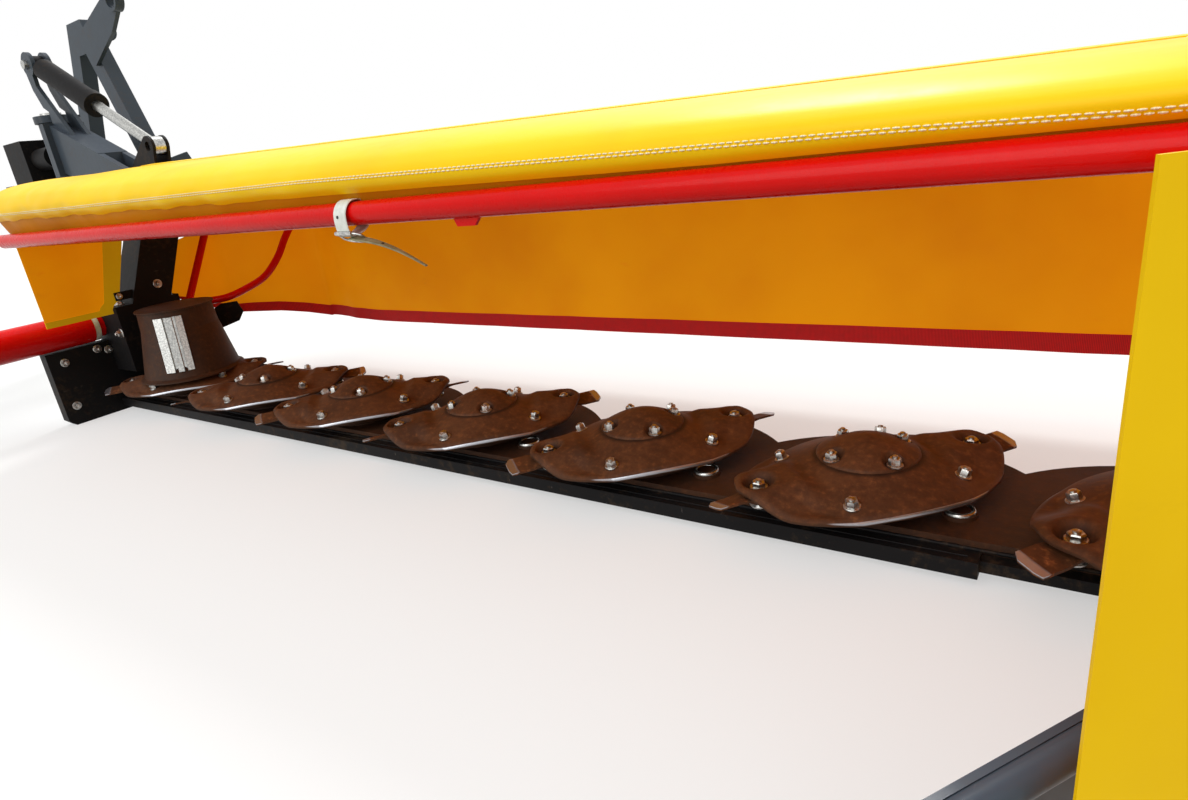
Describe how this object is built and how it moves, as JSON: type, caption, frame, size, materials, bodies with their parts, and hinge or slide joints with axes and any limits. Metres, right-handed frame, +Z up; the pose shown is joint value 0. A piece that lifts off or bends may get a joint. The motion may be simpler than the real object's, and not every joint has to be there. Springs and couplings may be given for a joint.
{
  "type": "rear side-mounted disc mower",
  "caption": "Tractor-mounted disc mower: a long cutter bar with spinning knife discs under a cloth guard, hinged to a headstock by a boom with a lift cylinder.",
  "frame": {"origin": "on the ground, in the middle of the outer box of the parked machine", "axes": "+X outward along the cutter bar, +Y forward in the driving direction, +Z up"},
  "size_m": [4.6066, 1.5524, 1.4269],
  "materials": {
    "charcoal_paint": "semi-gloss blue-grey paint, scuffed",
    "black_paint": "satin black paint, scratched",
    "black_plastic": "matt",
    "rusty_steel": "rusty, polished by the crop at the edges",
    "red_paint": "glossy",
    "yellow_tarpaulin": "coated cloth, soft sheen",
    "zinc_steel": "zinc-plated",
    "white_strap": "matt webbing"
  },
  "bodies": {
    "headstock": {"headstock": "charcoal_paint", "swing_carrier": "charcoal_paint", "hitch_pins": "zinc_steel", "breakaway_pin": "zinc_steel", "input_gearbox": "black_paint", "shaft_guard": "black_plastic"},
    "input": {"input_shaft": "zinc_steel"},
    "stand": {"stand_leg": "charcoal_paint"},
    "boom": {"breakaway_head": "charcoal_paint", "boom": "charcoal_paint", "boom_pins": "zinc_steel"},
    "lift_barrel": {"lift_barrel": "black_paint"},
    "lift_rod": {"lift_rod": "zinc_steel"},
    "bar": {"bed": "rusty_steel", "rear_rail": "black_paint", "skids": "black_paint", "inner_shoe": "black_paint", "outer_shoe": "black_paint", "inner_gearbox": "black_paint", "column": "black_paint", "side_tube": "red_paint", "guard_beam": "charcoal_paint", "rear_tube": "red_paint", "guard_arms": "red_paint", "inner_tubes": "red_paint", "tube_bracket": "black_paint", "canopy": "yellow_tarpaulin", "inner_curtain": "yellow_tarpaulin", "hem_strap": "white_strap"},
    "front_guard": {"front_frame": "red_paint", "front_canopy": "yellow_tarpaulin", "front_curtain": "yellow_tarpaulin"},
    "outer_guard": {"outer_frame": "red_paint", "outer_canopy": "yellow_tarpaulin", "outer_curtain": "yellow_tarpaulin"},
    "swath_board": {"swath_board": "charcoal_paint"},
    "disc_1": {"disc_1": "rusty_steel", "drum": "rusty_steel"},
    "disc_2": {"disc_2": "rusty_steel"},
    "disc_3": {"disc_3": "rusty_steel"},
    "disc_4": {"disc_4": "rusty_steel"},
    "disc_5": {"disc_5": "rusty_steel"},
    "disc_6": {"disc_6": "rusty_steel"},
    "disc_7": {"disc_7": "rusty_steel"}
  },
  "joints": [
    {"name": "stand_slide", "type": "slide", "parent": "headstock", "child": "stand", "axis": [0, 0, 1], "range_m": [0, 0.35]},
    {"name": "breakaway", "type": "hinge", "parent": "headstock", "child": "boom", "pos_m": [-1.52575, 0.31541, 0.86], "axis": [0, 0, 1], "range_deg": [-20, 0]},
    {"name": "bar_fold", "type": "hinge", "parent": "boom", "child": "bar", "pos_m": [-0.98575, 0.31541, 0.7], "axis": [0, -1, 0], "range_deg": [-12, 90]},
    {"name": "lift_barrel_turn", "type": "hinge", "parent": "boom", "child": "lift_barrel", "pos_m": [-1.49575, 0.31541, 1.165], "axis": [0, -1, 0], "range_deg": [-4.27, 1]},
    {"name": "lift_rod_slide", "type": "slide", "parent": "lift_barrel", "child": "lift_rod", "axis": [0.8873, 0, -0.4612], "range_m": [-0.288, 0.0393]},
    {"name": "front_guard_lift", "type": "hinge", "parent": "bar", "child": "front_guard", "pos_m": [0.43425, 0.25041, 0.71174], "axis": [-0.9996, 0, 0.0267], "range_deg": [-85, 0]},
    {"name": "outer_guard_fold", "type": "hinge", "parent": "bar", "child": "outer_guard", "pos_m": [1.90025, 0.09541, 0.673], "axis": [0, -1, 0], "range_deg": [0, 90]},
    {"name": "swath_board_turn", "type": "hinge", "parent": "bar", "child": "swath_board", "pos_m": [2.26265, 0.15541, 0.2], "axis": [0, 0, 1], "range_deg": [-25, 0]},
    {"name": "disc_1_spin", "type": "hinge", "parent": "bar", "child": "disc_1", "pos_m": [-0.56575, 0.09541, 0.115], "axis": [0, 0, 1], "continuous": true},
    {"name": "input_spin", "type": "hinge", "parent": "headstock", "child": "input", "pos_m": [-1.81575, 0.46541, 0.85], "axis": [0, 1, 0], "continuous": true},
    {"name": "disc_2_spin", "type": "hinge", "parent": "bar", "child": "disc_2", "pos_m": [-0.14575, 0.09541, 0.115], "axis": [0, 0, 1], "continuous": true},
    {"name": "disc_3_spin", "type": "hinge", "parent": "bar", "child": "disc_3", "pos_m": [0.27425, 0.09541, 0.115], "axis": [0, 0, 1], "continuous": true},
    {"name": "disc_4_spin", "type": "hinge", "parent": "bar", "child": "disc_4", "pos_m": [0.69425, 0.09541, 0.115], "axis": [0, 0, 1], "continuous": true},
    {"name": "disc_5_spin", "type": "hinge", "parent": "bar", "child": "disc_5", "pos_m": [1.11425, 0.09541, 0.115], "axis": [0, 0, 1], "continuous": true},
    {"name": "disc_6_spin", "type": "hinge", "parent": "bar", "child": "disc_6", "pos_m": [1.53425, 0.09541, 0.115], "axis": [0, 0, 1], "continuous": true},
    {"name": "disc_7_spin", "type": "hinge", "parent": "bar", "child": "disc_7", "pos_m": [1.95425, 0.09541, 0.115], "axis": [0, 0, 1], "continuous": true}
  ],
  "couplings": [
    {"joint": "lift_barrel_turn", "follows": "bar_fold", "ratio": -0.0419},
    {"joint": "lift_rod_slide", "follows": "bar_fold", "m_per_rad": -0.18268},
    {"joint": "input_spin", "follows": "disc_1_spin", "ratio": 0.18},
    {"joint": "disc_2_spin", "follows": "disc_1_spin", "ratio": -1},
    {"joint": "disc_3_spin", "follows": "disc_1_spin", "ratio": 1},
    {"joint": "disc_4_spin", "follows": "disc_1_spin", "ratio": -1},
    {"joint": "disc_5_spin", "follows": "disc_1_spin", "ratio": 1},
    {"joint": "disc_6_spin", "follows": "disc_1_spin", "ratio": -1},
    {"joint": "disc_7_spin", "follows": "disc_1_spin", "ratio": 1}
  ]
}
